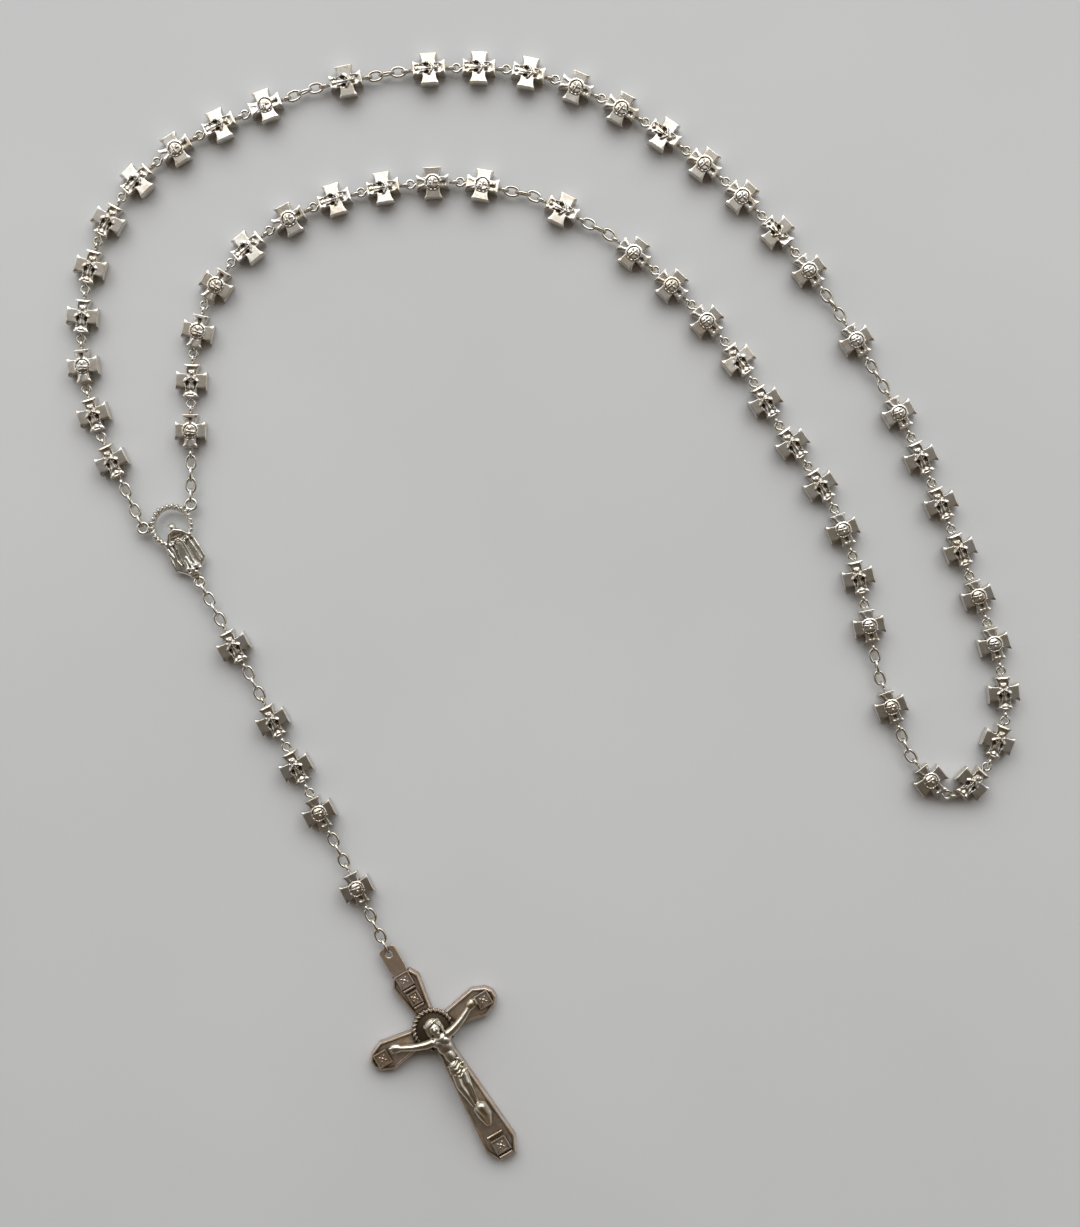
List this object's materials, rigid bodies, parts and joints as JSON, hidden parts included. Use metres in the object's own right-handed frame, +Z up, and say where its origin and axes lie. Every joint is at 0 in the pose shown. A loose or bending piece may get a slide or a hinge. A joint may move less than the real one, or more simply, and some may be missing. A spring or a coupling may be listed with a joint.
{
  "type": "rosary",
  "caption": "Metal prayer beads: cross-shaped beads on eye pins hooked loop in loop, with chain links to a figured centre medal and a crucifix.",
  "frame": {"origin": "the middle of the rosary's outline, on the table it lies on", "axes": "+Z is up off the table, +Y runs along the rosary's longest side, from the crucifix end to the loop, and +X to the right"},
  "size_m": [0.2178, 0.2536, 0.007],
  "materials": {
    "bead_metal": "antique silver plate on cast zinc alloy, bright on the raised edges and darkened in the recesses",
    "corpus_metal": "bright antique silver plate, satin",
    "cross_metal": "antique silver plate with a warm brown-pink tarnish, satin"
  },
  "bodies": {
    "medal": {"centre_medal": "bead_metal"},
    "decade_1_bead_01": {"decade_1_bead_01": "bead_metal"},
    "decade_1_bead_02": {"decade_1_bead_02": "bead_metal"},
    "decade_1_bead_03": {"decade_1_bead_03": "bead_metal"},
    "decade_1_bead_04": {"decade_1_bead_04": "bead_metal"},
    "decade_1_bead_05": {"decade_1_bead_05": "bead_metal"},
    "decade_1_bead_06": {"decade_1_bead_06": "bead_metal"},
    "decade_1_bead_07": {"decade_1_bead_07": "bead_metal"},
    "decade_1_bead_08": {"decade_1_bead_08": "bead_metal"},
    "decade_1_bead_09": {"decade_1_bead_09": "bead_metal"},
    "decade_1_bead_10": {"decade_1_bead_10": "bead_metal"},
    "our_father_bead_2": {"our_father_bead_2": "bead_metal"},
    "decade_2_bead_01": {"decade_2_bead_01": "bead_metal"},
    "decade_2_bead_02": {"decade_2_bead_02": "bead_metal"},
    "decade_2_bead_03": {"decade_2_bead_03": "bead_metal"},
    "decade_2_bead_04": {"decade_2_bead_04": "bead_metal"},
    "decade_2_bead_05": {"decade_2_bead_05": "bead_metal"},
    "decade_2_bead_06": {"decade_2_bead_06": "bead_metal"},
    "decade_2_bead_07": {"decade_2_bead_07": "bead_metal"},
    "decade_2_bead_08": {"decade_2_bead_08": "bead_metal"},
    "decade_2_bead_09": {"decade_2_bead_09": "bead_metal"},
    "decade_2_bead_10": {"decade_2_bead_10": "bead_metal"},
    "our_father_bead_3": {"our_father_bead_3": "bead_metal"},
    "decade_3_bead_01": {"decade_3_bead_01": "bead_metal"},
    "decade_3_bead_02": {"decade_3_bead_02": "bead_metal"},
    "decade_3_bead_03": {"decade_3_bead_03": "bead_metal"},
    "decade_3_bead_04": {"decade_3_bead_04": "bead_metal"},
    "decade_3_bead_05": {"decade_3_bead_05": "bead_metal"},
    "decade_3_bead_06": {"decade_3_bead_06": "bead_metal"},
    "decade_3_bead_07": {"decade_3_bead_07": "bead_metal"},
    "decade_3_bead_08": {"decade_3_bead_08": "bead_metal"},
    "decade_3_bead_09": {"decade_3_bead_09": "bead_metal"},
    "decade_5_bead_01": {"decade_5_bead_01": "bead_metal"},
    "decade_5_bead_02": {"decade_5_bead_02": "bead_metal"},
    "decade_5_bead_03": {"decade_5_bead_03": "bead_metal"},
    "decade_5_bead_04": {"decade_5_bead_04": "bead_metal"},
    "decade_5_bead_05": {"decade_5_bead_05": "bead_metal"},
    "decade_5_bead_06": {"decade_5_bead_06": "bead_metal"},
    "decade_5_bead_07": {"decade_5_bead_07": "bead_metal"},
    "decade_5_bead_08": {"decade_5_bead_08": "bead_metal"},
    "decade_5_bead_09": {"decade_5_bead_09": "bead_metal"},
    "decade_5_bead_10": {"decade_5_bead_10": "bead_metal"},
    "our_father_bead_5": {"our_father_bead_5": "bead_metal"},
    "decade_4_bead_01": {"decade_4_bead_01": "bead_metal"},
    "decade_4_bead_02": {"decade_4_bead_02": "bead_metal"},
    "decade_4_bead_03": {"decade_4_bead_03": "bead_metal"},
    "decade_4_bead_04": {"decade_4_bead_04": "bead_metal"},
    "decade_4_bead_05": {"decade_4_bead_05": "bead_metal"},
    "decade_4_bead_06": {"decade_4_bead_06": "bead_metal"},
    "decade_4_bead_07": {"decade_4_bead_07": "bead_metal"},
    "decade_4_bead_08": {"decade_4_bead_08": "bead_metal"},
    "decade_4_bead_09": {"decade_4_bead_09": "bead_metal"},
    "decade_4_bead_10": {"decade_4_bead_10": "bead_metal"},
    "our_father_bead_4": {"our_father_bead_4": "bead_metal"},
    "decade_3_bead_10": {"decade_3_bead_10": "bead_metal"},
    "our_father_bead_1": {"our_father_bead_1": "bead_metal"},
    "pendant_hail_mary_beads": {"pendant_hail_mary_beads": "bead_metal"},
    "creed_bead": {"creed_bead": "bead_metal"},
    "crucifix": {"crucifix_cross": "cross_metal", "crucifix_corpus": "corpus_metal"}
  },
  "joints": [
    {"name": "decade_1_bead_01_hook", "type": "hinge", "parent": "medal", "child": "decade_1_bead_01", "pos_m": [-0.09261, 0.02067, 0.0022], "axis": [0.9085, 0.418, 0], "range_deg": [-60, 60]},
    {"name": "decade_1_bead_02_hook", "type": "hinge", "parent": "decade_1_bead_01", "child": "decade_1_bead_02", "pos_m": [-0.10074, 0.03809, 0.0022], "axis": [-0.9549, -0.2968, 0], "range_deg": [-60, 60]},
    {"name": "decade_1_bead_03_hook", "type": "hinge", "parent": "decade_1_bead_02", "child": "decade_1_bead_03", "pos_m": [-0.10428, 0.04896, 0.0022], "axis": [0.9945, 0.1049, 0], "range_deg": [-60, 60]},
    {"name": "decade_1_bead_04_hook", "type": "hinge", "parent": "decade_1_bead_03", "child": "decade_1_bead_04", "pos_m": [-0.10563, 0.06032, 0.0022], "axis": [-0.9968, 0.0794, 0], "range_deg": [-60, 60]},
    {"name": "decade_1_bead_05_hook", "type": "hinge", "parent": "decade_1_bead_04", "child": "decade_1_bead_05", "pos_m": [-0.10486, 0.07173, 0.0022], "axis": [0.9677, -0.2519, 0], "range_deg": [-60, 60]},
    {"name": "decade_1_bead_06_hook", "type": "hinge", "parent": "decade_1_bead_05", "child": "decade_1_bead_06", "pos_m": [-0.10216, 0.08285, 0.0022], "axis": [-0.8804, 0.4742, 0], "range_deg": [-60, 60]},
    {"name": "decade_1_bead_07_hook", "type": "hinge", "parent": "decade_1_bead_06", "child": "decade_1_bead_07", "pos_m": [-0.09692, 0.09304, 0.0022], "axis": [0.7138, -0.7004, 0], "range_deg": [-60, 60]},
    {"name": "decade_1_bead_08_hook", "type": "hinge", "parent": "decade_1_bead_07", "child": "decade_1_bead_08", "pos_m": [-0.08904, 0.10133, 0.0022], "axis": [-0.5296, 0.8483, 0], "range_deg": [-60, 60]},
    {"name": "decade_1_bead_09_hook", "type": "hinge", "parent": "decade_1_bead_08", "child": "decade_1_bead_09", "pos_m": [-0.07941, 0.10747, 0.0022], "axis": [0.4171, -0.9089, 0], "range_deg": [-60, 60]},
    {"name": "decade_1_bead_10_hook", "type": "hinge", "parent": "decade_1_bead_09", "child": "decade_1_bead_10", "pos_m": [-0.06905, 0.11228, 0.0022], "axis": [-0.3592, 0.9333, 0], "range_deg": [-60, 60]},
    {"name": "our_father_bead_2_hook", "type": "hinge", "parent": "decade_1_bead_10", "child": "our_father_bead_2", "pos_m": [-0.05357, 0.11838, 0.0022], "axis": [0.1963, -0.9805, 0], "range_deg": [-60, 60]},
    {"name": "decade_2_bead_01_hook", "type": "hinge", "parent": "our_father_bead_2", "child": "decade_2_bead_01", "pos_m": [-0.03474, 0.12226, 0.0022], "axis": [-0.0689, 0.9976, 0], "range_deg": [-60, 60]},
    {"name": "decade_2_bead_02_hook", "type": "hinge", "parent": "decade_2_bead_01", "child": "decade_2_bead_02", "pos_m": [-0.02076, 0.1233, 0.0022], "axis": [-0.0242, -0.9997, 0], "range_deg": [-60, 60]},
    {"name": "decade_2_bead_03_hook", "type": "hinge", "parent": "decade_2_bead_02", "child": "decade_2_bead_03", "pos_m": [-0.00932, 0.12316, 0.0022], "axis": [0.2038, 0.979, 0], "range_deg": [-60, 60]},
    {"name": "decade_2_bead_04_hook", "type": "hinge", "parent": "decade_2_bead_03", "child": "decade_2_bead_04", "pos_m": [0.0019, 0.12098, 0.0022], "axis": [-0.3774, -0.926, 0], "range_deg": [-60, 60]},
    {"name": "decade_2_bead_05_hook", "type": "hinge", "parent": "decade_2_bead_04", "child": "decade_2_bead_05", "pos_m": [0.01251, 0.11675, 0.0022], "axis": [0.4773, 0.8788, 0], "range_deg": [-60, 60]},
    {"name": "decade_2_bead_06_hook", "type": "hinge", "parent": "decade_2_bead_05", "child": "decade_2_bead_06", "pos_m": [0.02259, 0.11137, 0.0022], "axis": [-0.5691, -0.8223, 0], "range_deg": [-60, 60]},
    {"name": "decade_2_bead_07_hook", "type": "hinge", "parent": "decade_2_bead_06", "child": "decade_2_bead_07", "pos_m": [0.03201, 0.10491, 0.0022], "axis": [0.6187, 0.7857, 0], "range_deg": [-60, 60]},
    {"name": "decade_2_bead_08_hook", "type": "hinge", "parent": "decade_2_bead_07", "child": "decade_2_bead_08", "pos_m": [0.04103, 0.0979, 0.0022], "axis": [-0.6855, -0.7281, 0], "range_deg": [-60, 60]},
    {"name": "decade_2_bead_09_hook", "type": "hinge", "parent": "decade_2_bead_08", "child": "decade_2_bead_09", "pos_m": [0.04939, 0.09011, 0.0022], "axis": [0.7379, 0.6749, 0], "range_deg": [-60, 60]},
    {"name": "decade_2_bead_10_hook", "type": "hinge", "parent": "decade_2_bead_09", "child": "decade_2_bead_10", "pos_m": [0.05717, 0.08174, 0.0022], "axis": [-0.8092, -0.5875, 0], "range_deg": [-60, 60]},
    {"name": "our_father_bead_3_hook", "type": "hinge", "parent": "decade_2_bead_10", "child": "our_father_bead_3", "pos_m": [0.06698, 0.06833, 0.0022], "axis": [0.8534, 0.5213, 0], "range_deg": [-60, 60]},
    {"name": "decade_3_bead_01_hook", "type": "hinge", "parent": "our_father_bead_3", "child": "decade_3_bead_01", "pos_m": [0.07704, 0.05195, 0.0022], "axis": [-0.8792, -0.4764, 0], "range_deg": [-60, 60]},
    {"name": "decade_3_bead_02_hook", "type": "hinge", "parent": "decade_3_bead_01", "child": "decade_3_bead_02", "pos_m": [0.08377, 0.03965, 0.0022], "axis": [0.9124, 0.4094, 0], "range_deg": [-60, 60]},
    {"name": "decade_3_bead_03_hook", "type": "hinge", "parent": "decade_3_bead_02", "child": "decade_3_bead_03", "pos_m": [0.08846, 0.02923, 0.0022], "axis": [-0.9211, -0.3894, 0], "range_deg": [-60, 60]},
    {"name": "decade_3_bead_04_hook", "type": "hinge", "parent": "decade_3_bead_03", "child": "decade_3_bead_04", "pos_m": [0.09292, 0.01872, 0.0022], "axis": [0.929, 0.3701, 0], "range_deg": [-60, 60]},
    {"name": "decade_3_bead_05_hook", "type": "hinge", "parent": "decade_3_bead_04", "child": "decade_3_bead_05", "pos_m": [0.09717, 0.00812, 0.0022], "axis": [-0.9369, -0.3496, 0], "range_deg": [-60, 60]},
    {"name": "decade_3_bead_06_hook", "type": "hinge", "parent": "decade_3_bead_05", "child": "decade_3_bead_06", "pos_m": [0.10122, -0.00256, 0.0022], "axis": [0.9604, 0.2786, 0], "range_deg": [-60, 60]},
    {"name": "decade_3_bead_07_hook", "type": "hinge", "parent": "decade_3_bead_06", "child": "decade_3_bead_07", "pos_m": [0.10455, -0.0135, 0.0022], "axis": [-0.9956, -0.0934, 0], "range_deg": [-60, 60]},
    {"name": "decade_3_bead_08_hook", "type": "hinge", "parent": "decade_3_bead_07", "child": "decade_3_bead_08", "pos_m": [0.10598, -0.02492, 0.0022], "axis": [0.9312, -0.3644, 0], "range_deg": [-60, 60]},
    {"name": "decade_3_bead_09_hook", "type": "hinge", "parent": "decade_3_bead_08", "child": "decade_3_bead_09", "pos_m": [0.10208, -0.03573, 0.0022], "axis": [-0.7208, 0.6932, 0], "range_deg": [-60, 60]},
    {"name": "decade_5_bead_01_hook", "type": "hinge", "parent": "medal", "child": "decade_5_bead_01", "pos_m": [-0.08049, 0.02636, 0.0022], "axis": [-1, 0.0014, 0], "range_deg": [-60, 60]},
    {"name": "decade_5_bead_02_hook", "type": "hinge", "parent": "decade_5_bead_01", "child": "decade_5_bead_02", "pos_m": [-0.0805, 0.04559, 0.0022], "axis": [0.9991, -0.0432, 0], "range_deg": [-60, 60]},
    {"name": "decade_5_bead_03_hook", "type": "hinge", "parent": "decade_5_bead_02", "child": "decade_5_bead_03", "pos_m": [-0.08015, 0.05701, 0.0022], "axis": [-0.9753, 0.2208, 0], "range_deg": [-60, 60]},
    {"name": "decade_5_bead_04_hook", "type": "hinge", "parent": "decade_5_bead_03", "child": "decade_5_bead_04", "pos_m": [-0.07787, 0.06825, 0.0022], "axis": [0.8485, -0.5292, 0], "range_deg": [-60, 60]},
    {"name": "decade_5_bead_05_hook", "type": "hinge", "parent": "decade_5_bead_04", "child": "decade_5_bead_05", "pos_m": [-0.07201, 0.0781, 0.0022], "axis": [-0.6483, 0.7614, 0], "range_deg": [-60, 60]},
    {"name": "decade_5_bead_06_hook", "type": "hinge", "parent": "decade_5_bead_05", "child": "decade_5_bead_06", "pos_m": [-0.06341, 0.08565, 0.0022], "axis": [0.4735, -0.8808, 0], "range_deg": [-60, 60]},
    {"name": "decade_5_bead_07_hook", "type": "hinge", "parent": "decade_5_bead_06", "child": "decade_5_bead_07", "pos_m": [-0.05341, 0.09119, 0.0022], "axis": [-0.2979, 0.9546, 0], "range_deg": [-60, 60]},
    {"name": "decade_5_bead_08_hook", "type": "hinge", "parent": "decade_5_bead_07", "child": "decade_5_bead_08", "pos_m": [-0.04254, 0.09471, 0.0022], "axis": [0.1584, -0.9874, 0], "range_deg": [-60, 60]},
    {"name": "decade_5_bead_09_hook", "type": "hinge", "parent": "decade_5_bead_08", "child": "decade_5_bead_09", "pos_m": [-0.03127, 0.0966, 0.0022], "axis": [-0.0542, 0.9985, 0], "range_deg": [-60, 60]},
    {"name": "decade_5_bead_10_hook", "type": "hinge", "parent": "decade_5_bead_09", "child": "decade_5_bead_10", "pos_m": [-0.01986, 0.09741, 0.0022], "axis": [-0.1786, -0.9839, 0], "range_deg": [-60, 60]},
    {"name": "our_father_bead_5_hook", "type": "hinge", "parent": "decade_5_bead_10", "child": "our_father_bead_5", "pos_m": [-0.00343, 0.09465, 0.0022], "axis": [0.4495, 0.8933, 0], "range_deg": [-60, 60]},
    {"name": "decade_4_bead_01_hook", "type": "hinge", "parent": "our_father_bead_5", "child": "decade_4_bead_01", "pos_m": [0.01382, 0.08614, 0.0022], "axis": [-0.6133, -0.7899, 0], "range_deg": [-60, 60]},
    {"name": "decade_4_bead_02_hook", "type": "hinge", "parent": "decade_4_bead_01", "child": "decade_4_bead_02", "pos_m": [0.02494, 0.0776, 0.0022], "axis": [0.6854, 0.7282, 0], "range_deg": [-60, 60]},
    {"name": "decade_4_bead_03_hook", "type": "hinge", "parent": "decade_4_bead_02", "child": "decade_4_bead_03", "pos_m": [0.03331, 0.06982, 0.0022], "axis": [-0.7429, -0.6694, 0], "range_deg": [-60, 60]},
    {"name": "decade_4_bead_04_hook", "type": "hinge", "parent": "decade_4_bead_03", "child": "decade_4_bead_04", "pos_m": [0.04102, 0.0614, 0.0022], "axis": [0.8151, 0.5794, 0], "range_deg": [-60, 60]},
    {"name": "decade_4_bead_05_hook", "type": "hinge", "parent": "decade_4_bead_04", "child": "decade_4_bead_05", "pos_m": [0.0477, 0.05213, 0.0022], "axis": [-0.8606, -0.5093, 0], "range_deg": [-60, 60]},
    {"name": "decade_4_bead_06_hook", "type": "hinge", "parent": "decade_4_bead_05", "child": "decade_4_bead_06", "pos_m": [0.05346, 0.04226, 0.0022], "axis": [0.8164, 0.5775, 0], "range_deg": [-60, 60]},
    {"name": "decade_4_bead_07_hook", "type": "hinge", "parent": "decade_4_bead_06", "child": "decade_4_bead_07", "pos_m": [0.06009, 0.03297, 0.0022], "axis": [-0.8481, -0.5298, 0], "range_deg": [-60, 60]},
    {"name": "decade_4_bead_08_hook", "type": "hinge", "parent": "decade_4_bead_07", "child": "decade_4_bead_08", "pos_m": [0.06627, 0.02335, 0.0022], "axis": [0.9309, 0.3654, 0], "range_deg": [-60, 60]},
    {"name": "decade_4_bead_09_hook", "type": "hinge", "parent": "decade_4_bead_08", "child": "decade_4_bead_09", "pos_m": [0.07055, 0.01275, 0.0022], "axis": [-0.9714, -0.2376, 0], "range_deg": [-60, 60]},
    {"name": "decade_4_bead_10_hook", "type": "hinge", "parent": "decade_4_bead_09", "child": "decade_4_bead_10", "pos_m": [0.07329, 0.00166, 0.0022], "axis": [0.9808, 0.1952, 0], "range_deg": [-60, 60]},
    {"name": "our_father_bead_4_hook", "type": "hinge", "parent": "decade_4_bead_10", "child": "our_father_bead_4", "pos_m": [0.07641, -0.01468, 0.0022], "axis": [-0.9343, -0.3565, 0], "range_deg": [-60, 60]},
    {"name": "decade_3_bead_10_hook", "type": "hinge", "parent": "our_father_bead_4", "child": "decade_3_bead_10", "pos_m": [0.08305, -0.03275, 0.0022], "axis": [0.7811, 0.6245, 0], "range_deg": [-60, 60]},
    {"name": "our_father_bead_1_hook", "type": "hinge", "parent": "medal", "child": "our_father_bead_1", "pos_m": [-0.07709, 0.00331, 0.0022], "axis": [-0.8824, -0.4704, 0], "range_deg": [-60, 60]},
    {"name": "pendant_hail_mary_beads_hook", "type": "hinge", "parent": "our_father_bead_1", "child": "pendant_hail_mary_beads", "pos_m": [-0.06558, -0.01823, 0.0022], "axis": [0.8924, 0.4513, 0], "range_deg": [-60, 60]},
    {"name": "creed_bead_hook", "type": "hinge", "parent": "pendant_hail_mary_beads", "child": "creed_bead", "pos_m": [-0.04627, -0.05638, 0.0022], "axis": [-0.8995, -0.4369, 0], "range_deg": [-60, 60]},
    {"name": "crucifix_hook", "type": "hinge", "parent": "creed_bead", "child": "crucifix", "pos_m": [-0.03584, -0.07807, 0.0022], "axis": [0.8625, 0.506, 0], "range_deg": [-60, 60]}
  ]
}
